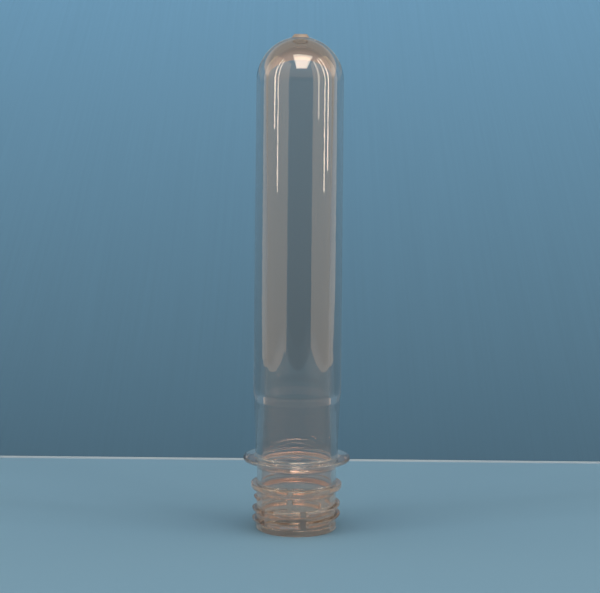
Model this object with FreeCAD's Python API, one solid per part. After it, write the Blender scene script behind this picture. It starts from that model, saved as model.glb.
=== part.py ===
import FreeCAD, Part
import math
import os

# One-piece PET bottle preform, millimetres. It stands on its mouth: the rim is at z = 0 and the
# closed dome is at the top. Angles are in degrees about +Z, counted from +X; -Y is the front.

# Bore and sealing lip
bore_d = 21.74
bore_depth = 20.0
mouth_chamfer = 0.20
lip_wall = 1.58
lip_height = 1.70
lip_chamfer = 0.35
lip_step = 0.15

# Closure thread: one right-handed start, steep on the ring side and sloped on the mouth side
finish_wall = 1.43
thread_depth = 1.325
thread_pitch = 3.18
thread_start_angle = 85.0
thread_start_z = 2.33
thread_sweep = 838.0
thread_run_in = 50.0
thread_run_out = 45.0
thread_crest_width = 0.50
thread_ring_flank = 15.0
thread_mouth_flank = 45.0
thread_section_step = 12.0

# Vent slots through the thread, in two opposite pairs
vent_width = 1.82
vent_flare = 29.0
vent_spread = 58.6
vent_pair_angle = 70.9

# Tamper-evidence bead
bead_reach = 1.75
bead_shoulder_z = 14.50
bead_flat = 1.35
bead_flank = 45.0
bead_nose_radius = 1.20
bead_chamfer = 0.20

# Plain neck and support ring
neck_wall = 1.43
ring_d = 33.00
ring_top_z = 22.82
ring_edge_width = 1.05
ring_underside_slope = 22.0
ring_chamfer = 0.30
ring_foot_radius = 1.20
ring_heel_chamfer = 0.40

# Neck above the ring, which opens out to the body
throat_wall = 1.93
throat_height = 4.70
flare_d = 26.45
flare_height = 10.50
flare_land = 2.20
step_height = 2.40

# Body and dome
body_base_d = 27.00
dome_d = 26.44
body_length = 95.40
wall_at_flare = 3.10
wall_at_step = 3.60
wall_at_dome_root = 3.55
wall_at_gate = 3.05

# Gate vestige on the dome
gate_base_d = 5.40
gate_top_d = 3.90
gate_height = 1.05
gate_chamfer = 0.35

bore_r = bore_d / 2
root_r = bore_r + finish_wall
neck_r = bore_r + neck_wall
throat_r = bore_r + throat_wall
thread_sink = finish_wall / 4


def point(r, z):
    return FreeCAD.Vector(r, 0, z)


def line(start, finish):
    """Straight edge; a sloped one is a curve of degree one, so that a long taper is a light surface."""
    if start.x == finish.x or start.z == finish.z:
        return Part.makeLine(start, finish)
    edge = Part.BezierCurve()
    edge.setPoles([start, finish])
    return edge.toShape()


def outline(corners):
    """Edges through (r, z, radius) places, with a tangent arc of that radius where it isn't zero."""
    reached = point(*corners[0][:2])
    edges = []
    for before, here, after in zip(corners, corners[1:], corners[2:]):
        corner = point(*here[:2])
        start = finish = corner
        if here[2]:
            back = (point(*before[:2]) - corner).normalize()
            ahead = (point(*after[:2]) - corner).normalize()
            half_angle = back.getAngle(ahead) / 2
            start = corner + back * (here[2] / math.tan(half_angle))
            finish = corner + ahead * (here[2] / math.tan(half_angle))
            middle = corner + (back + ahead).normalize() * here[2] * (1 / math.sin(half_angle) - 1)
        edges.append(line(reached, start))
        if here[2]:
            edges.append(Part.Arc(start, middle, finish).toShape())
        reached = finish
    edges.append(line(reached, point(*corners[-1][:2])))
    return edges


def dome_arc(radius, centre_z, start_angle, end_angle):
    """Arc about a centre on the axis; the angles are above the horizontal."""
    angles = (start_angle, (start_angle + end_angle) / 2, end_angle)
    places = [point(radius * math.cos(angle), centre_z + radius * math.sin(angle)) for angle in angles]
    return Part.Arc(*places).toShape()


def lip_corners(rim_middle_r):
    lip_r = bore_r + lip_wall
    return [
        (rim_middle_r, 0, 0),
        (lip_r - lip_chamfer, 0, 0),
        (lip_r, lip_chamfer, 0),
        (lip_r, lip_height, 0),
        (root_r, lip_height + lip_step, 0),
    ]


def bead_corners():
    bead_r = root_r + bead_reach
    flank_top_z = bead_shoulder_z - bead_flat
    flank_foot_z = flank_top_z - bead_reach * math.tan(math.radians(bead_flank))
    return [
        (root_r, flank_foot_z, 0),
        (bead_r, flank_top_z, bead_nose_radius),
        (bead_r, bead_shoulder_z - bead_chamfer, 0),
        (bead_r - bead_chamfer, bead_shoulder_z, 0),
        (neck_r + bead_chamfer, bead_shoulder_z, 0),
        (neck_r, bead_shoulder_z + bead_chamfer, 0),
    ]


def ring_corners():
    ring_r = ring_d / 2
    edge_z = ring_top_z - ring_edge_width
    slope = math.tan(math.radians(ring_underside_slope))
    return [
        (neck_r, edge_z - (ring_r - neck_r) * slope, ring_foot_radius),
        (ring_r - ring_chamfer, edge_z - ring_chamfer * slope, 0),
        (ring_r, edge_z + ring_chamfer, 0),
        (ring_r, ring_top_z - ring_chamfer, 0),
        (ring_r - ring_chamfer, ring_top_z, 0),
        (throat_r + ring_heel_chamfer, ring_top_z, 0),
        (throat_r, ring_top_z + ring_heel_chamfer, 0),
    ]


def preform_section():
    """Closed half-section of the preform, without its thread."""
    rim_middle_r = bore_r + lip_wall / 2
    throat_top_z = ring_top_z + throat_height
    flare_z = throat_top_z + flare_height
    step_z = flare_z + flare_land
    body_z = step_z + step_height
    dome_z = body_z + body_length
    dome_r = dome_d / 2
    taper = math.atan((body_base_d - dome_d) / 2 / body_length)

    body = [
        (throat_r, throat_top_z, 0),
        (flare_d / 2, flare_z, 0),
        (flare_d / 2, step_z, 0),
        (body_base_d / 2, body_z, 0),
        (dome_r * math.cos(taper), dome_z + dome_r * math.sin(taper), 0),
    ]
    outside = outline(lip_corners(rim_middle_r) + bead_corners() + ring_corners() + body)

    gate_r = gate_base_d / 2
    gate_angle = math.acos(gate_r / dome_r)
    gate_base_z = dome_z + dome_r * math.sin(gate_angle)
    gate_top_z = gate_base_z + gate_height
    gate_slope = (gate_base_d - gate_top_d) / 2 / gate_height
    gate = [
        (gate_r, gate_base_z, 0),
        (gate_top_d / 2 + gate_chamfer * gate_slope, gate_top_z - gate_chamfer, 0),
        (gate_top_d / 2 - gate_chamfer, gate_top_z, 0),
        (0, gate_top_z, 0),
    ]

    inner_r = dome_r - wall_at_dome_root
    inner_z = dome_z + dome_r - wall_at_gate - inner_r
    inside = [
        (inner_r, inner_z, 0),
        (body_base_d / 2 - wall_at_step, body_z, 0),
        (flare_d / 2 - wall_at_flare, flare_z, 0),
        (bore_r, bore_depth, 0),
        (bore_r, mouth_chamfer, 0),
        (bore_r + mouth_chamfer, 0, 0),
        (rim_middle_r, 0, 0),
    ]
    return Part.Wire(
        outside
        + [dome_arc(dome_r, dome_z, taper, gate_angle)]
        + outline(gate)
        + [line(point(0, gate_top_z), point(0, inner_z + inner_r))]
        + [dome_arc(inner_r, inner_z, math.pi / 2, 0)]
        + outline(inside)
    )


def eased(share):
    share = min(max(share, 0.0), 1.0)
    return share * share * (3 - 2 * share)


def thread_section(turned):
    """Closed section of the thread after so many degrees, sunk a little into the neck wall."""
    fade = eased(turned / thread_run_in) * eased((thread_sweep - turned) / thread_run_out)
    height = thread_depth * fade
    depth = height + thread_sink
    half_crest = thread_crest_width / 2
    ring_side = half_crest + depth * math.tan(math.radians(thread_ring_flank))
    mouth_side = half_crest + depth * math.tan(math.radians(thread_mouth_flank))
    base_r = root_r - thread_sink
    crest_r = root_r + height
    centre_z = thread_start_z + thread_pitch * turned / 360
    places = [(base_r, ring_side), (crest_r, half_crest), (crest_r, -half_crest), (base_r, -mouth_side)]
    section = Part.makePolygon([point(r, centre_z + z) for r, z in places + places[:1]])
    section.rotate(point(0, 0), FreeCAD.Vector(0, 0, 1), thread_start_angle + turned)
    return section


def thread():
    steps = round(thread_sweep / thread_section_step)
    sections = [thread_section(thread_sweep * step / steps) for step in range(steps + 1)]
    return Part.makeLoft(sections, True, False)


def vent(angle):
    """Wedge that opens outwards and clears the thread down to its root."""
    inner_r = root_r - 2 * thread_sink
    outer_r = root_r + thread_depth + thread_sink
    inner = vent_width / 2 - (root_r - inner_r) * math.tan(math.radians(vent_flare))
    outer = vent_width / 2 + (outer_r - root_r) * math.tan(math.radians(vent_flare))
    places = [(inner_r, inner), (outer_r, outer), (outer_r, -outer), (inner_r, -inner)]
    base = Part.makePolygon([FreeCAD.Vector(x, y, 0) for x, y in places + places[:1]])
    wedge = Part.Face(base).extrude(FreeCAD.Vector(0, 0, bead_shoulder_z))
    wedge.rotate(point(0, 0), FreeCAD.Vector(0, 0, 1), angle)
    return wedge


def preform():
    body = Part.Face(preform_section()).revolve(point(0, 0), FreeCAD.Vector(0, 0, 1), 360)
    vents = []
    for pair in (0, 180):
        for side in (-0.5, 0.5):
            vents.append(vent(vent_pair_angle + pair + side * vent_spread))
    return body.fuse(thread().cut(vents)).removeSplitter()


os.makedirs("parts", exist_ok=True)
solid = preform()
solid.exportStep("parts/preform.step")
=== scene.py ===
import math

import bpy
import numpy as np
from bpy.props import FloatProperty, FloatVectorProperty, PointerProperty
from mathutils import Matrix, Vector


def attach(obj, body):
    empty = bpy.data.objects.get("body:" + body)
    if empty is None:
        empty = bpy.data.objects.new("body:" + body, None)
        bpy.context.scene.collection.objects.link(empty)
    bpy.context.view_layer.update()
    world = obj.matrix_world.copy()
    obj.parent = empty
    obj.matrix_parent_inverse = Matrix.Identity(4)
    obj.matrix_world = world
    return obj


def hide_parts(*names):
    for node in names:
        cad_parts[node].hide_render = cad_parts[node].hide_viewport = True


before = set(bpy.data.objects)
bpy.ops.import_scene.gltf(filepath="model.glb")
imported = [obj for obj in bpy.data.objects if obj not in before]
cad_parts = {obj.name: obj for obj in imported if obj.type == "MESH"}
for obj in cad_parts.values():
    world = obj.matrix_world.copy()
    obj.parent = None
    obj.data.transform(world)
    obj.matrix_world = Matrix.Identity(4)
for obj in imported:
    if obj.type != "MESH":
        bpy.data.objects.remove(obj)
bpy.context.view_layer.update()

bl_info = {
    "name": "Bottle preform",
    "version": (1, 0, 0),
    "blender": (4, 5, 0),
    "location": "View3D > Sidebar > Preform",
    "description": "A clear PET bottle preform on its mouth, with the stage that shows it",
    "category": "Add Mesh",
}

MM = 0.001

# How finely the preform's surface is laid out.
COLUMNS = 240
FINE_ANGLES = 7201
DOME_ROWS = 30
BAND_ROW = 0.055 * MM
BEND_POINTS = 7
HOLD = 0.25 * MM
GATE_HOLD = 0.12 * MM

# Extra columns beside the vents: how many more of them, and how far they spread.
CROWDING = 3.2
CROWDING_REACH = math.radians(2.6)

# Small stretches and bends of the half-section, from the rim up.
LIP_LAND = 0.15 * MM
LIP_FALL = 0.25 * MM
BAND_MARGIN = 0.45 * MM
BEAD_FOOT_BEND = 0.8 * MM
BEAD_TOP_BEND = 0.35 * MM
THROAT_BEND = 6 * MM
FLARE_BEND = 8 * MM
STEP_BEND = 2.5 * MM
CORE_BEND = 8 * MM
GATE_MARGIN = 0.35 * MM
GATE_FOOT_BEND = 0.7 * MM

# A corner more open than this isn't rounded. A height of a metre is above or, as its
# negative, below every height that the thread can have.
NEARLY_STRAIGHT = math.radians(89.9)
AWAY = 1.0

# The materials in the order of the mesh's slots, and how far past its own edge the satin
# PET or the clear PET reaches.
CLEAR, SATIN, GATE = 0, 1, 2
SEAM_MARGIN = 0.1 * MM

# How much the PET bends light, how glossy the boards are, and how far up the wall's painted shade
# reaches, which darkens it towards the floor.
PET_IOR = 1.575
BOARD_GLOSS = 0.1
PAINTED_SHADE_HEIGHT = 0.2

# The stage: how far the boards run to each side, how much of them shows in the PET,
# how far behind the axis the wall stands, the edge along which it leans back, and the
# side of the joint strip.
BOARD_REACH = 3.0
SEEN_FLOOR = 0.33
SEEN_WALL = 0.5
WALL_FOOT = 0.0968
WALL_RISE = (0, 0.4242, 0.1978)
STRIP_SIDE = 0.6 * MM

# Strip lamps: degrees from the front, width, height of the foot and brightness of each.
STRIP_LAMPS = (
    (-69, 0.05, 0.09, 18.0),
    (-59, 0.05, 0.03, 13.0),
    (50, 0.09, 0.10, 6.0),
    (68, 0.05, 0.03, 15.0),
    (79, 0.05, 0.05, 18.0),
)
STRIP_DISTANCE = 1.2
STRIP_TOP = 1.58

# Side panels: degrees from the front of each, then what they share.
SIDE_PANELS = (-69, 73)
PANEL_DISTANCE = 0.32
PANEL_HEIGHT = 0.26
PANEL_SIZE = 0.53

# The camera: its place, how far it is tipped down and rolled, in degrees, and its lens.
CAMERA_PLACE = (0.575 * MM, -550 * MM, 141.9 * MM)
CAMERA_TIP = 7.2
CAMERA_ROLL = 0.565
CAMERA_LENS = 108.54
CAMERA_SENSOR = 36.0

# Light is reflected many times in the tips of the ring and the thread.
LIGHT_BOUNCES = 48


def length(name, millimetres, description):
    """A size in the panel, given in millimetres and held in metres."""
    return FloatProperty(
        name=name, description=description, default=millimetres * MM, min=0.0, precision=5,
        unit="LENGTH",
    )


def degrees(name, value, description):
    """An angle in the panel, given in degrees and held in radians."""
    return FloatProperty(
        name=name, description=description, default=math.radians(value), unit="ROTATION"
    )


def colour(name, red, green, blue, description):
    """A linear colour in the panel."""
    return FloatVectorProperty(
        name=name, description=description, default=(red, green, blue), size=3,
        min=0.0, max=1.0, subtype="COLOR",
    )


# ---------------------------------------------------------------- sizes


class FinishSizes(bpy.types.PropertyGroup):
    """Sizes of the neck finish, from the rim to the heel of the support ring."""

    bore_d: length("Bore", 21.74, "Diameter of the straight bore")
    bore_depth: length("Bore depth", 20.0, "Height at which the bore starts to narrow")
    lip_wall: length("Lip wall", 1.58, "Wall at the sealing lip")
    lip_height: length("Lip height", 1.70, "Height of the lip band")
    lip_round: length("Lip round", 0.42, "Rounding of the rim's outer edge")
    mouth_round: length("Mouth round", 0.20, "Rounding of the bore's edge")
    wall: length("Finish wall", 1.43, "Wall at the thread's root and along the plain neck")
    thread_depth: length("Thread depth", 1.325, "Height of the thread over its root")
    thread_pitch: length("Thread pitch", 3.18, "Rise of the thread in one turn")
    thread_start_z: length("Thread start", 2.33, "Height of the crest where the thread starts")
    thread_start: degrees("Start angle", 85.0, "Angle about the axis where the thread starts")
    thread_sweep: degrees("Thread sweep", 838.0, "Angle that the thread turns through")
    run_in: degrees("Run-in", 50.0, "Angle over which the thread rises at its start")
    run_out: degrees("Run-out", 45.0, "Angle over which the thread falls at its end")
    crest_width: length("Crest width", 0.50, "Flat width of the crest")
    ring_flank: degrees("Ring flank", 15.0, "Slope of the flank that holds the cap")
    mouth_flank: degrees("Mouth flank", 45.0, "Slope of the flank towards the mouth")
    crest_round: length("Crest round", 0.30, "Depth over which the crest's edges are rounded")
    root_round: length("Root round", 0.22, "Depth over which the thread's foot is rounded")
    vent_width: length("Vent width", 1.82, "Width of each vent at the root")
    vent_flare: degrees("Vent flare", 29.0, "Slope of a vent's sides")
    vent_spread: degrees("Vent spread", 58.6, "Angle between the two vents of a pair")
    vent_pair: degrees("Vent pair", 70.9, "Angle of the middle of a pair of vents")
    bead_reach: length("Bead reach", 1.75, "How far the tamper bead stands out from the root")
    bead_shoulder_z: length("Bead shoulder", 14.50, "Height of the bead's flat shoulder")
    bead_flat: length("Bead flat", 1.40, "Height of the bead's corner under its shoulder")
    bead_flank: degrees("Bead flank", 41.5, "Slope of the bead's lower side")
    bead_nose: length("Bead nose", 1.00, "Rounding of the bead's outer corner")
    bead_edge: length("Bead edge", 0.28, "Rounding of the bead's shoulder edge")
    ring_d: length("Ring", 33.00, "Diameter of the support ring")
    ring_top_z: length("Ring top", 22.82, "Height of the ring's flat top")
    ring_width: length("Ring edge", 1.05, "Height of the ring's edge")
    ring_slope: degrees("Ring slope", 22.0, "Slope of the ring's underside")
    ring_edge: length("Ring edge round", 0.45, "Rounding of the ring's edges")
    ring_foot: length("Ring foot", 1.20, "Rounding between the ring's underside and the neck")
    ring_heel: length("Ring heel", 0.60, "Rounding between the ring's top and the neck above it")


class BodySizes(bpy.types.PropertyGroup):
    """Sizes of the body, from the ring's heel to the gate."""

    throat_wall: length("Throat wall", 1.93, "Wall just above the ring, over the bore's radius")
    throat_height: length("Throat height", 4.70, "Height of the straight neck above the ring")
    flare_d: length("Flare", 26.45, "Diameter at the top of the flare")
    flare_height: length("Flare height", 10.50, "Height of the flare")
    flare_land: length("Flare land", 2.20, "Straight stretch above the flare")
    step_height: length("Step height", 2.40, "Height of the short step below the body")
    base_d: length("Body base", 27.00, "Diameter at the foot of the body's taper")
    dome_d: length("Dome", 26.44, "Diameter of the dome")
    body_length: length("Body length", 95.40, "Length of the body's taper")
    wall_flare: length("Wall at flare", 3.10, "Wall at the top of the flare")
    wall_step: length("Wall at step", 3.60, "Wall at the foot of the body")
    wall_dome: length("Wall at dome", 3.55, "Wall at the dome's root")
    wall_gate: length("Wall at gate", 3.05, "Wall under the gate")
    gate_base_d: length("Gate base", 5.40, "Diameter of the gate vestige at the dome")
    gate_top_d: length("Gate top", 3.90, "Diameter of the gate vestige at its top")
    gate_height: length("Gate height", 1.05, "Height of the gate vestige")
    gate_edge: length("Gate edge", 0.40, "Rounding of the gate vestige's top edge")


class Finishes(bpy.types.PropertyGroup):
    """Colours of the clear PET and of the stage."""

    pet: colour("PET", 0.950, 0.815, 0.755, "Tint that each surface of the PET gives")
    satin: colour("Satin", 0.92, 0.76, 0.65, "Tint of the satin PET of the thread and the bead")
    gate: colour("Gate", 0.80, 0.68, 0.58, "Colour of the crystallised PET at the gate")
    floor: colour("Floor", 0.097, 0.210, 0.343, "Colour of the floor")
    wall: colour("Wall", 0.0975, 0.254, 0.462, "Colour of the wall")
    joint: colour("Joint", 0.29, 0.41, 0.54, "Colour of the strip where the wall meets the floor")
    lamp: colour("Lamp", 1.0, 0.82, 0.65, "Colour of the lamps that show in the PET")
    fill: colour("Fill", 1.0, 0.86, 0.73, "Colour of the soft light overhead")
    # Painted shade: the dark screen is a dark sheet that stands for the unlit room behind the
    # camera.
    shade: colour("Shade", 0.06, 0.05, 0.042, "Colour of the dark screen behind the camera")
    panel: colour("Panels", 1.0, 0.66, 0.38, "Colour of the soft panels at the sides")
    room: colour("Room", 0.50, 0.42, 0.345, "Colour of the room in front and at the sides")
    far_room: colour("Far room", 0.41, 0.43, 0.425, "Colour of the room behind the wall")
    low_room: colour("Low room", 0.145, 0.195, 0.22, "Colour of the room under eye level")
    ceiling: colour("Ceiling", 0.24, 0.245, 0.23, "Colour of the room's ceiling")


# ---------------------------------------------------------------- surfaces


def rounded_line(corners, hold=HOLD):
    """Line through (radius, height, rounding) corners, as arrays of radius and height.

    A rounding R at a corner whose two sides are 2h apart starts R / tan(h) back along one side
    and ends as far along the other. Its centre is R / sin(h) from the corner along the line
    that halves them, and its points are the centre plus R times the direction turned evenly
    from one end to the other. A straight stretch longer than three holds has a point one hold
    from each of its ends, which keeps the shading of the bend beside it from spreading.
    """
    places = np.array(corners, dtype=float)
    spots, rounds = places[:, :2], places[:, 2]
    parts = [spots[:1]]
    for before, spot, after, rounding in zip(spots, spots[1:], spots[2:], rounds[1:]):
        back = (before - spot) / np.linalg.norm(before - spot)
        ahead = (after - spot) / np.linalg.norm(after - spot)
        half = math.acos(float(np.clip(back @ ahead, -1, 1))) / 2
        if rounding == 0 or half > NEARLY_STRAIGHT:
            parts.append(spot[None])
            continue
        centre = spot + (back + ahead) / np.linalg.norm(back + ahead) * rounding / math.sin(half)
        first = (spot + back * rounding / math.tan(half) - centre) / rounding
        last = (spot + ahead * rounding / math.tan(half) - centre) / rounding
        turn = math.pi - 2 * half
        share = np.linspace(0, 1, BEND_POINTS)[:, None]
        arc = (np.sin((1 - share) * turn) * first + np.sin(share * turn) * last) / math.sin(turn)
        parts.append(centre + rounding * arc)
    parts.append(spots[-1:])
    held = parts[:1]
    for one, other in zip(parts, parts[1:]):
        gap = other[0] - one[-1]
        reach = np.linalg.norm(gap)
        if reach > 3 * hold:
            inset = gap / reach * hold
            held.append(np.stack([one[-1] + inset, other[0] - inset]))
        held.append(other)
    line = np.concatenate(held)
    return line[:, 0], line[:, 1]


def eased(share):
    """Smooth rise from 0 to 1: three squares less two cubes of the share."""
    share = np.clip(share, 0, 1)
    return share * share * (3 - 2 * share)


def lesser(one, other, blend):
    """The lesser of two heights, rounded where they are within a blend of each other."""
    return np.minimum(one, other) - np.maximum(blend - np.abs(one - other), 0) ** 2 / (4 * blend)


def side_angles(finish, count):
    """Angles of the columns, closer together beside the vents.

    The columns' density is 1 plus a bell curve on each side of each vent, and the angles are
    read from its running total at even steps.
    """
    fine = np.linspace(0, 2 * math.pi, FINE_ANGLES)
    edge = finish.vent_width / 2 + finish.thread_depth * math.tan(finish.vent_flare) / 2
    edge /= finish.bore_d / 2 + finish.wall
    density = np.ones_like(fine)
    for vent in vent_angles(finish):
        for side in (-edge, edge):
            away = np.angle(np.exp(1j * (fine - vent - side)))
            density += CROWDING * np.exp(-(away / CROWDING_REACH) ** 2)
    total = np.concatenate([[0], np.cumsum((density[1:] + density[:-1]) / 2)])
    return np.interp(np.arange(count) / count * total[-1], total, fine)


def vent_angles(finish):
    """The middles of the four vents, two opposite pairs."""
    middles = finish.vent_pair + np.array([0, 0, math.pi, math.pi])
    return middles + finish.vent_spread / 2 * np.array([-1, 1, -1, 1])


def thread_relief(angle, height, finish):
    """Height of the thread over its root, for arrays of angle and height.

    The crest climbs one pitch a turn. Where a place is beyond the crest's flat by some distance
    along the axis, the thread is lower by that distance over the tangent of the flank's slope.
    It rises over the run-in and falls over the run-out. A vent leaves at most the distance
    from its middle line, less half its width, over the tangent of its flare.
    """
    turns = np.arange(-1, 4)[:, None, None]
    turned = angle[None] + 2 * math.pi * turns - finish.thread_start
    centre = finish.thread_start_z + finish.thread_pitch * turned / (2 * math.pi)
    beyond = height[None] - centre
    ring_fall = (beyond - finish.crest_width / 2) / math.tan(finish.ring_flank)
    mouth_fall = (-beyond - finish.crest_width / 2) / math.tan(finish.mouth_flank)
    fade = eased(turned / finish.run_in) * eased((finish.thread_sweep - turned) / finish.run_out)
    crest = finish.thread_depth * fade
    relief = lesser(crest, crest - ring_fall, finish.crest_round)
    relief = lesser(relief, crest - mouth_fall, finish.crest_round)
    relief = np.where((turned > 0) & (turned < finish.thread_sweep), relief, -AWAY).max(axis=0)
    radius = finish.bore_d / 2 + finish.wall + finish.thread_depth / 2
    for vent in vent_angles(finish):
        off = angle - vent
        aside = radius * np.abs(np.sin(off)) - finish.vent_width / 2
        left = np.where(np.cos(off) > 0, aside / math.tan(finish.vent_flare), AWAY)
        relief = lesser(relief, left, finish.crest_round)
    return relief


def outer_line(finish, body):
    """Half-section of the outside, from the middle of the rim to the middle of the gate's top.

    It comes in three parts: the rim's edge, the band that carries the thread, and the rest. The
    dome is a quarter circle from the body's taper to the gate, and the other bends are rounded
    corners.
    """
    bore_r = finish.bore_d / 2
    lip_r = bore_r + finish.lip_wall
    root_r = bore_r + finish.wall
    edge_top = finish.lip_round + LIP_LAND
    rim = rounded_line([
        (bore_r + finish.lip_wall / 2, 0, 0),
        (lip_r, 0, finish.lip_round),
        (lip_r, edge_top, 0),
    ])

    bead_r = root_r + finish.bead_reach
    flank_top = finish.bead_shoulder_z - finish.bead_flat
    flank_foot = flank_top - finish.bead_reach * math.tan(finish.bead_flank)
    band_top = flank_foot - BAND_MARGIN
    rows = round((band_top - edge_top) / BAND_ROW)
    band_z = np.linspace(edge_top, band_top, rows)[1:-1]
    band_r = root_r + (lip_r - root_r) * (1 - eased((band_z - finish.lip_height) / LIP_FALL))

    ring_r = finish.ring_d / 2
    throat_r = bore_r + body.throat_wall
    slope = math.tan(finish.ring_slope)
    under_z = finish.ring_top_z - finish.ring_width
    foot_z = under_z - (ring_r - root_r) * slope
    throat_top = finish.ring_top_z + body.throat_height
    flare_z = throat_top + body.flare_height
    step_z = flare_z + body.flare_land
    base_z = step_z + body.step_height
    dome_z = base_z + body.body_length
    dome_r = body.dome_d / 2
    taper = math.atan((body.base_d - body.dome_d) / 2 / body.body_length)
    upper = rounded_line([
        (root_r, band_top, 0),
        (root_r, flank_foot, BEAD_FOOT_BEND),
        (bead_r, flank_top, finish.bead_nose),
        (bead_r, finish.bead_shoulder_z, finish.bead_edge),
        (root_r, finish.bead_shoulder_z, BEAD_TOP_BEND),
        (root_r, foot_z, finish.ring_foot),
        (ring_r, under_z, finish.ring_edge),
        (ring_r, finish.ring_top_z, finish.ring_edge),
        (throat_r, finish.ring_top_z, finish.ring_heel),
        (throat_r, throat_top, FLARE_BEND),
        (body.flare_d / 2, flare_z, FLARE_BEND),
        (body.flare_d / 2, step_z, STEP_BEND),
        (body.base_d / 2, base_z, STEP_BEND),
        (dome_r * math.cos(taper), dome_z + dome_r * math.sin(taper), 0),
    ])

    gate_r = body.gate_base_d / 2
    rise = np.linspace(taper, math.acos((gate_r + GATE_MARGIN) / dome_r), DOME_ROWS)[1:]
    dome = dome_r * np.cos(rise), dome_z + dome_r * np.sin(rise)
    gate_z = dome_z + dome_r * math.sin(math.acos(gate_r / dome_r))
    gate = rounded_line([
        (dome[0][-1], dome[1][-1], 0),
        (gate_r, gate_z, GATE_FOOT_BEND),
        (body.gate_top_d / 2, gate_z + body.gate_height, body.gate_edge),
        (0.0, gate_z + body.gate_height, 0),
    ], hold=GATE_HOLD)
    rest_r = np.concatenate([upper[0], dome[0], gate[0][1:]])
    rest_z = np.concatenate([upper[1], dome[1], gate[1][1:]])
    return rim, (band_r, band_z), (rest_r, rest_z)


def inner_line(finish, body):
    """Half-section of the inside, from the dome's inner top to the middle of the rim.

    The inner dome is a quarter circle, and below it straight sides meet in rounded corners.
    """
    bore_r = finish.bore_d / 2
    flare_z = finish.ring_top_z + body.throat_height + body.flare_height
    base_z = flare_z + body.flare_land + body.step_height
    dome_z = base_z + body.body_length
    inner_r = body.dome_d / 2 - body.wall_dome
    inner_z = dome_z + body.dome_d / 2 - body.wall_gate - inner_r
    fall = np.linspace(math.pi / 2, 0, DOME_ROWS)
    dome = inner_r * np.cos(fall), inner_z + inner_r * np.sin(fall)
    core = rounded_line([
        (inner_r, inner_z, 0),
        (body.base_d / 2 - body.wall_step, base_z, CORE_BEND),
        (body.flare_d / 2 - body.wall_flare, flare_z, CORE_BEND),
        (bore_r, finish.bore_depth, THROAT_BEND),
        (bore_r, 0, finish.mouth_round),
        (bore_r + finish.lip_wall / 2, 0, 0),
    ])
    return np.concatenate([dome[0], core[0][1:]]), np.concatenate([dome[1], core[1][1:]])


def preform_surface(finish, body, columns):
    """Points of the closed preform as rows of columns, from the inner top to the gate.

    Every row is the half-section's radius and height carried once round the axis. In the band
    that carries the thread the radius is the greater of the band's own and the root plus the
    thread's relief, rounded where they meet. The first and last rows close on the axis.
    """
    rim, band, rest = outer_line(finish, body)
    inner = inner_line(finish, body)
    radius = np.concatenate([inner[0][:-1], rim[0], band[0], rest[0]])
    height = np.concatenate([inner[1][:-1], rim[1], band[1], rest[1]])
    angle = side_angles(finish, columns)
    angles, heights = np.meshgrid(angle, height)
    radii = np.repeat(radius[:, None], columns, axis=1)

    first = len(inner[0]) - 1 + len(rim[0])
    rows = slice(first, first + len(band[0]))
    root_r = finish.bore_d / 2 + finish.wall
    carried = root_r + thread_relief(angles[rows], heights[rows], finish)
    radii[rows] = -lesser(-radii[rows], -carried, finish.root_round)
    return np.stack([radii * np.cos(angles), radii * np.sin(angles), heights], axis=-1)


def closed_mesh(name, points):
    """A mesh from rows of columns: four-sided faces between rows, closed round the axis.

    A fan of triangles closes each end, where the row has shrunk to one point.
    """
    rows, columns = points.shape[:2]
    body = points[1:-1].reshape(-1, 3)
    poles = points[[0, -1], 0]
    vertices = np.concatenate([body, poles])
    index = np.arange((rows - 2) * columns).reshape(rows - 2, columns)
    after = np.roll(index, -1, axis=1)
    quads = np.stack([index[:-1], after[:-1], after[1:], index[1:]], axis=-1).reshape(-1, 4)
    start, end = len(body), len(body) + 1
    low = np.stack([np.full(columns, start), after[0], index[0]], axis=-1)
    high = np.stack([np.full(columns, end), index[-1], after[-1]], axis=-1)
    triangles = np.concatenate([low, high])

    mesh = bpy.data.meshes.new(name)
    mesh.vertices.add(len(vertices))
    mesh.vertices.foreach_set("co", vertices.ravel())
    loops = np.concatenate([quads.ravel(), triangles.ravel()])
    mesh.loops.add(len(loops))
    mesh.loops.foreach_set("vertex_index", loops)
    sizes = np.concatenate([np.full(len(quads), 4), np.full(len(triangles), 3)])
    mesh.polygons.add(len(sizes))
    mesh.polygons.foreach_set("loop_start", np.concatenate([[0], np.cumsum(sizes)[:-1]]))
    mesh.polygons.foreach_set("loop_total", sizes)
    mesh.polygons.foreach_set("use_smooth", np.ones(len(sizes), dtype=bool))
    mesh.update(calc_edges=True)
    mesh.validate()
    return mesh


# ---------------------------------------------------------------- materials


def new_material(name):
    """A new material, with its nodes, its links and its surface shader."""
    material = bpy.data.materials.new(name)
    material.use_nodes = True
    nodes = material.node_tree.nodes
    return material, nodes, material.node_tree.links, nodes["Principled BSDF"]


def noise(nodes, links, scale, detail=2.0, stretch=(1.0, 1.0, 1.0)):
    """The value of a noise on Object coordinates, drawn out where its stretch is under 1."""
    place = nodes.new("ShaderNodeTexCoord")
    stretched = nodes.new("ShaderNodeMapping")
    stretched.inputs["Scale"].default_value = stretch
    links.new(place.outputs["Object"], stretched.inputs["Vector"])
    pattern = nodes.new("ShaderNodeTexNoise")
    pattern.inputs["Scale"].default_value = scale
    pattern.inputs["Detail"].default_value = detail
    links.new(stretched.outputs[0], pattern.inputs["Vector"])
    return pattern.outputs["Fac"]


def mottled(nodes, links, pattern, tone, least, most):
    """A tone that a pattern varies between two shares of itself."""
    mix = nodes.new("ShaderNodeMix")
    mix.data_type = "RGBA"
    mix.inputs["A"].default_value = (*[least * part for part in tone], 1)
    mix.inputs["B"].default_value = (*[most * part for part in tone], 1)
    links.new(pattern, mix.inputs["Factor"])
    return mix.outputs["Result"]


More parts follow.
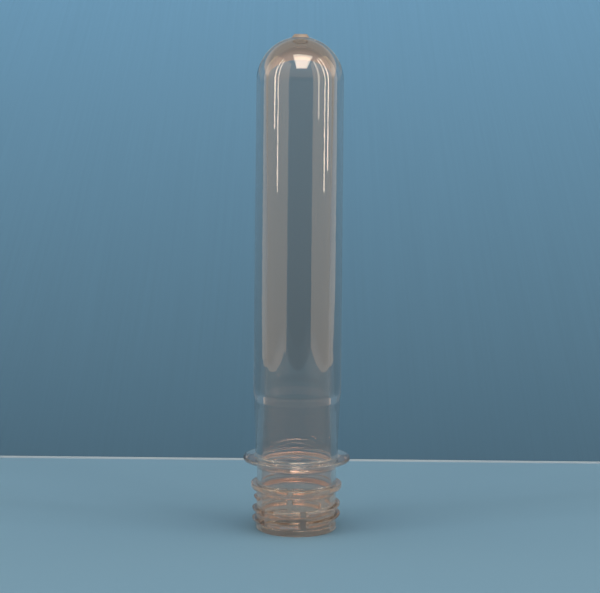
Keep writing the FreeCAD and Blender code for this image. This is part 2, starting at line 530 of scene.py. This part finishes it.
def ripple(nodes, links, shader, pattern):
    """Let a pattern tilt the surface a very little, as the mould's steel does."""
    bump = nodes.new("ShaderNodeBump")
    bump.inputs["Strength"].default_value = 0.05
    bump.inputs["Distance"].default_value = 0.02 * MM
    links.new(pattern, bump.inputs["Height"])
    links.new(bump.outputs[0], shader.inputs["Normal"])


def pet(name, tint, clearness, roughness):
    """PET that light passes through, with a tint at each surface."""
    material, nodes, links, shader = new_material(name)
    shader.inputs["Base Color"].default_value = (*tint, 1)
    shader.inputs["Transmission Weight"].default_value = clearness
    shader.inputs["IOR"].default_value = PET_IOR
    shader.inputs["Roughness"].default_value = roughness
    return material, nodes, links, shader


def clear_pet(finishes):
    """Clear, glossy PET with faint flow lines along the body, as a noise drawn out along Z."""
    made = pet("clear PET", finishes.pet, clearness=1.0, roughness=0.0)
    material, nodes, links, shader = made
    flow = noise(nodes, links, scale=260.0, stretch=(1.0, 1.0, 0.06))
    ripple(nodes, links, shader, flow)
    return material


def satin_pet(finishes):
    """PET moulded against satin steel: a little hazy, with a grain finer than the thread."""
    made = pet("satin PET", finishes.satin, clearness=0.93, roughness=0.03)
    material, nodes, links, shader = made
    ripple(nodes, links, shader, noise(nodes, links, scale=2200.0))
    return material


def gate_pet(finishes):
    """PET at the gate, where it crystallised: tan, cloudy and rough, mottled by a fine noise."""
    made = pet("gate PET", finishes.gate, clearness=0.85, roughness=0.4)
    material, nodes, links, shader = made
    cloud = noise(nodes, links, scale=900.0)
    tone = mottled(nodes, links, cloud, finishes.gate, least=0.86, most=1.1)
    links.new(tone, shader.inputs["Base Color"])
    return material


def painted(name, tone, roughness, grain, drawn=1.0, foot=1.0, contrast=0.04):
    """A matt board whose tone a noise varies by the contrast to either side.

    A greater grain is finer. It is drawn out along Y and Z where drawn is under 1. Where foot is
    under 1, the tone falls to that share of itself towards the floor, as painted shade.
    """
    material, nodes, links, shader = new_material(name)
    shader.inputs["Roughness"].default_value = roughness
    shader.inputs["Specular IOR Level"].default_value = BOARD_GLOSS
    pattern = noise(nodes, links, grain, detail=4.0, stretch=(1.0, drawn, drawn))
    shade = mottled(nodes, links, pattern, tone, 1 - contrast, 1 + contrast)
    # Painted shade: the tone darkens towards the floor for light that falls off down the board.
    if foot < 1.0:
        place = nodes.new("ShaderNodeTexCoord")
        split = nodes.new("ShaderNodeSeparateXYZ")
        links.new(place.outputs["Object"], split.inputs[0])
        rise = nodes.new("ShaderNodeMapRange")
        rise.inputs["From Max"].default_value = PAINTED_SHADE_HEIGHT
        rise.inputs["To Min"].default_value = foot
        links.new(split.outputs["Z"], rise.inputs["Value"])
        fade = nodes.new("ShaderNodeVectorMath")
        fade.operation = "SCALE"
        links.new(shade, fade.inputs[0])
        links.new(rise.outputs[0], fade.inputs["Scale"])
        shade = fade.outputs[0]
    links.new(shade, shader.inputs["Base Color"])
    return material


def one_sided(material):
    """Make a board clear from behind, so that it doesn't hide the preform from there."""
    nodes, links = material.node_tree.nodes, material.node_tree.links
    side = nodes.new("ShaderNodeNewGeometry")
    clear = nodes.new("ShaderNodeBsdfTransparent")
    choice = nodes.new("ShaderNodeMixShader")
    links.new(side.outputs["Backfacing"], choice.inputs[0])
    links.new(nodes["Principled BSDF"].outputs[0], choice.inputs[1])
    links.new(clear.outputs[0], choice.inputs[2])
    links.new(choice.outputs[0], nodes["Material Output"].inputs["Surface"])


# ---------------------------------------------------------------- the stage


def placed(name, data):
    """An object in the scene that holds a mesh, a lamp or a camera."""
    piece = bpy.data.objects.new(name, data)
    bpy.context.scene.collection.objects.link(piece)
    return piece


def board(name, corner, along, across, material):
    """A flat rectangle from a corner and its two edges.

    Its front is on the side that the cross product of the edges points to.
    """
    corner, along, across = np.array(corner), np.array(along), np.array(across)
    corners = np.stack([corner, corner + along, corner + along + across, corner + across])
    mesh = bpy.data.meshes.new(name)
    mesh.from_pydata(corners.tolist(), [], [(0, 1, 2, 3)])
    mesh.materials.append(material)
    piece = placed(name, mesh)
    return piece


def lamp(name, place, aim, width, height, brightness, tone):
    """An area lamp aimed at a point, whose brightness is its power over pi and its area."""
    data = bpy.data.lights.new(name, "AREA")
    data.shape = "RECTANGLE"
    data.size = width
    data.size_y = height
    data.energy = brightness * math.pi * width * height
    data.color = tone
    piece = placed(name, data)
    back = (Vector(place) - Vector(aim)).normalized()
    turn = back.to_track_quat("Z", "Y").to_matrix().to_4x4()
    piece.matrix_world = Matrix.Translation(place) @ turn
    piece.visible_camera = False
    return piece


def ring_place(turn, distance, height):
    """A place round the preform, so many degrees from the front."""
    angle = math.radians(turn)
    return (distance * math.sin(angle), -distance * math.cos(angle), height)


def not_in_glass(piece):
    """Keep a lamp or board out of reflections and out of what shows through the PET."""
    piece.visible_glossy = False
    piece.visible_transmission = False


def lay_floor(finishes):
    """Lay one board that shows in the PET, and four round it that don't."""
    floor = painted("floor board", finishes.floor, roughness=0.65, grain=6.0)
    near, far = SEEN_FLOOR, BOARD_REACH
    board("floor", (-near, -near, 0), (2 * near, 0, 0), (0, WALL_FOOT + near, 0), floor)
    around = {
        "floor_left": (-far, -far, far - near, 2 * far),
        "floor_right": (near, -far, far - near, 2 * far),
        "floor_front": (-near, -far, 2 * near, far - near),
        "floor_back": (-near, WALL_FOOT, 2 * near, far - WALL_FOOT),
    }
    for name, (x, y, wide, deep) in around.items():
        not_in_glass(board(name, (x, y, 0), (wide, 0, 0), (0, deep, 0), floor))


def stand_wall(finishes):
    """Stand the wall, whose middle shows in the PET, and lay the pale strip along its foot."""
    # The wall's tone is painted darker towards the floor: painted shade, with foot as its share
    # there.
    wall = painted("wall board", finishes.wall, roughness=0.6, grain=800.0, drawn=0.01,
                   foot=0.34, contrast=0.06)
    one_sided(wall)
    near, far = SEEN_WALL, BOARD_REACH
    board("wall", (-near, WALL_FOOT, 0), (2 * near, 0, 0), WALL_RISE, wall)
    side = (far - near, 0, 0)
    not_in_glass(board("wall_left", (-far, WALL_FOOT, 0), side, WALL_RISE, wall))
    not_in_glass(board("wall_right", (near, WALL_FOOT, 0), side, WALL_RISE, wall))

    strip = painted("joint strip", finishes.joint, roughness=0.4, grain=6.0)
    front, whole = WALL_FOOT - STRIP_SIDE, (2 * far, 0, 0)
    board("joint_front", (-far, front, 0), whole, (0, 0, STRIP_SIDE), strip)
    board("joint_top", (-far, front, STRIP_SIDE), whole, (0, STRIP_SIDE, 0), strip)


def hang_lamps(finishes):
    """Hang the lamps, none of which the camera sees.

    The ceiling lamp shows in the PET and gives the boards no more than a faint gloss. The
    overhead fill lights the boards and doesn't show in the PET. The strip lamps and the side
    panels do both, but they show only in the PET's reflections and not through it.
    """
    ceiling = lamp("ceiling lamp", place=(0.11, -0.93, 1.15), aim=(0.11, -0.93, 0.0),
                   width=0.82, height=1.26, brightness=8.0, tone=finishes.lamp)
    ceiling.visible_diffuse = False
    overhead = lamp("overhead fill", place=(0.0, -0.15, 1.6), aim=(0.0, 0.0, 0.0),
                    width=1.6, height=1.6, brightness=2.7, tone=finishes.fill)
    not_in_glass(overhead)
    for turn, width, foot, brightness in STRIP_LAMPS:
        place = ring_place(turn, STRIP_DISTANCE, (foot + STRIP_TOP) / 2)
        strip = lamp("strip lamp", place, (0, 0, place[2]), width, STRIP_TOP - foot,
                     brightness, finishes.lamp)
        strip.visible_transmission = False
    for turn in SIDE_PANELS:
        place = ring_place(turn, PANEL_DISTANCE, PANEL_HEIGHT)
        panel = lamp("side panel", place, (0, 0, place[2]), PANEL_SIZE, PANEL_SIZE,
                     brightness=1.6, tone=finishes.panel)
        panel.visible_transmission = False


def stand_screen(finishes):
    """Stand the dark screen behind the camera, painted shade for the unlit room there, which only
    reflections show.
    """
    painted_shade_sheet = painted("dark cloth", finishes.shade, roughness=0.9, grain=6.0)
    screen = board("dark_screen", corner=(-0.30, -0.62, -0.20), along=(0, 0, 0.46),
                   across=(0.72, 0, 0), material=painted_shade_sheet)
    screen.visible_camera = False
    screen.visible_transmission = False
    screen.visible_diffuse = False
    screen.visible_shadow = False


def room_world(finishes):
    """The room: warm in front and at the sides, grey behind, one colour overhead and a bluer
    one under eye level, each passing smoothly into the next."""
    world = bpy.data.worlds.new("room")
    world.use_nodes = True
    nodes, links = world.node_tree.nodes, world.node_tree.links
    way = nodes.new("ShaderNodeTexCoord")
    split = nodes.new("ShaderNodeSeparateXYZ")
    links.new(way.outputs["Generated"], split.inputs[0])

    def passing(axis, start, end, one, other):
        """A colour that passes from one to the other while the direction's part along an axis
        rises from start to end."""
        share = nodes.new("ShaderNodeMapRange")
        share.interpolation_type = "SMOOTHSTEP"
        share.inputs["From Min"].default_value = start
        share.inputs["From Max"].default_value = end
        links.new(split.outputs[axis], share.inputs["Value"])
        blend = nodes.new("ShaderNodeMix")
        blend.data_type = "RGBA"
        links.new(share.outputs[0], blend.inputs["Factor"])
        for socket, source in (("A", one), ("B", other)):
            if isinstance(source, bpy.types.NodeSocket):
                links.new(source, blend.inputs[socket])
            else:
                blend.inputs[socket].default_value = (*source, 1)
        return blend.outputs["Result"]

    behind = passing("Z", 0.10, 0.40, finishes.far_room, finishes.ceiling)
    level = passing("Y", 0.05, 0.55, finishes.room, behind)
    lower = passing("Z", -0.03, 0.08, finishes.low_room, level)
    whole = passing("Z", 0.6, 0.95, lower, finishes.ceiling)
    links.new(whole, nodes["Background"].inputs["Color"])
    return world


def place_camera(scene):
    """Place a long lens in front of the preform, a little under its top, tipped down."""
    data = bpy.data.cameras.new("camera")
    data.sensor_width = CAMERA_SENSOR
    data.lens = CAMERA_LENS
    piece = placed("camera", data)
    tip = Matrix.Rotation(math.radians(90 - CAMERA_TIP), 4, "X")
    roll = Matrix.Rotation(math.radians(CAMERA_ROLL), 4, "Z")
    piece.matrix_world = Matrix.Translation(CAMERA_PLACE) @ tip @ roll
    scene.camera = piece


# ---------------------------------------------------------------- operators


class PREFORM_OT_body(bpy.types.Operator):
    """Build the one-piece preform with its thread, vents, bead, ring, body, dome and gate"""

    bl_idname = "preform.body"
    bl_label = "Preform"

    def execute(self, context):
        finish = context.scene.preform_finish
        body = context.scene.preform_body
        finishes = context.scene.preform_finishes
        points = preform_surface(finish, body, COLUMNS)
        mesh = closed_mesh("bottle_preform", points)
        piece = placed("bottle_preform", mesh)
        for material in (clear_pet(finishes), satin_pet(finishes), gate_pet(finishes)):
            mesh.materials.append(material)

        centres = np.empty(len(mesh.polygons) * 3)
        mesh.polygons.foreach_get("center", centres)
        x, y, z = centres.reshape(-1, 3).T
        outside = np.hypot(x, y) > finish.bore_d / 2 + finish.wall / 2
        satin = outside & (z < finish.bead_shoulder_z + SEAM_MARGIN)
        gate = z > points[-1, 0, 2] - body.gate_height + SEAM_MARGIN
        slots = np.where(gate, GATE, np.where(satin, SATIN, CLEAR))
        mesh.polygons.foreach_set("material_index", slots.astype(int))
        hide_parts("preform")
        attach(piece, "root")
        return {"FINISHED"}


class PREFORM_OT_stage(bpy.types.Operator):
    """Lay the floor and the wall, set the lamps and the room, and place the camera"""

    bl_idname = "preform.stage"
    bl_label = "Stage"

    def execute(self, context):
        scene = context.scene
        finishes = scene.preform_finishes
        lay_floor(finishes)
        stand_wall(finishes)
        hang_lamps(finishes)
        stand_screen(finishes)
        scene.world = room_world(finishes)
        scene.view_settings.view_transform = "Standard"
        scene.cycles.max_bounces = LIGHT_BOUNCES
        scene.cycles.transmission_bounces = LIGHT_BOUNCES
        scene.cycles.glossy_bounces = LIGHT_BOUNCES
        place_camera(scene)
        return {"FINISHED"}


class PREFORM_PT_panel(bpy.types.Panel):
    """Sizes, colours and building steps of the preform"""

    bl_idname = "PREFORM_PT_panel"
    bl_label = "Preform"
    bl_space_type = "VIEW_3D"
    bl_region_type = "UI"
    bl_category = "Preform"

    def draw(self, context):
        for step in STEPS:
            self.layout.operator(step.bl_idname)
        for group in GROUPS:
            box = self.layout.box()
            sizes = getattr(context.scene, group)
            for name in sizes.bl_rna.properties.keys():
                if name not in ("rna_type", "name"):
                    box.prop(sizes, name)


STEPS = (PREFORM_OT_body, PREFORM_OT_stage)
GROUPS = {"preform_finish": FinishSizes, "preform_body": BodySizes, "preform_finishes": Finishes}
CLASSES = (*GROUPS.values(), *STEPS, PREFORM_PT_panel)


def register():
    """Register the classes and give the scene its groups of sizes and colours."""
    for each in CLASSES:
        bpy.utils.register_class(each)
    for name, group in GROUPS.items():
        setattr(bpy.types.Scene, name, PointerProperty(type=group))


def unregister():
    """Take the groups and the classes away again."""
    for name in GROUPS:
        delattr(bpy.types.Scene, name)
    for each in reversed(CLASSES):
        bpy.utils.unregister_class(each)


def main():
    register()
    bpy.ops.preform.body()
    bpy.ops.preform.stage()


if __name__ == "__main__":
    main()
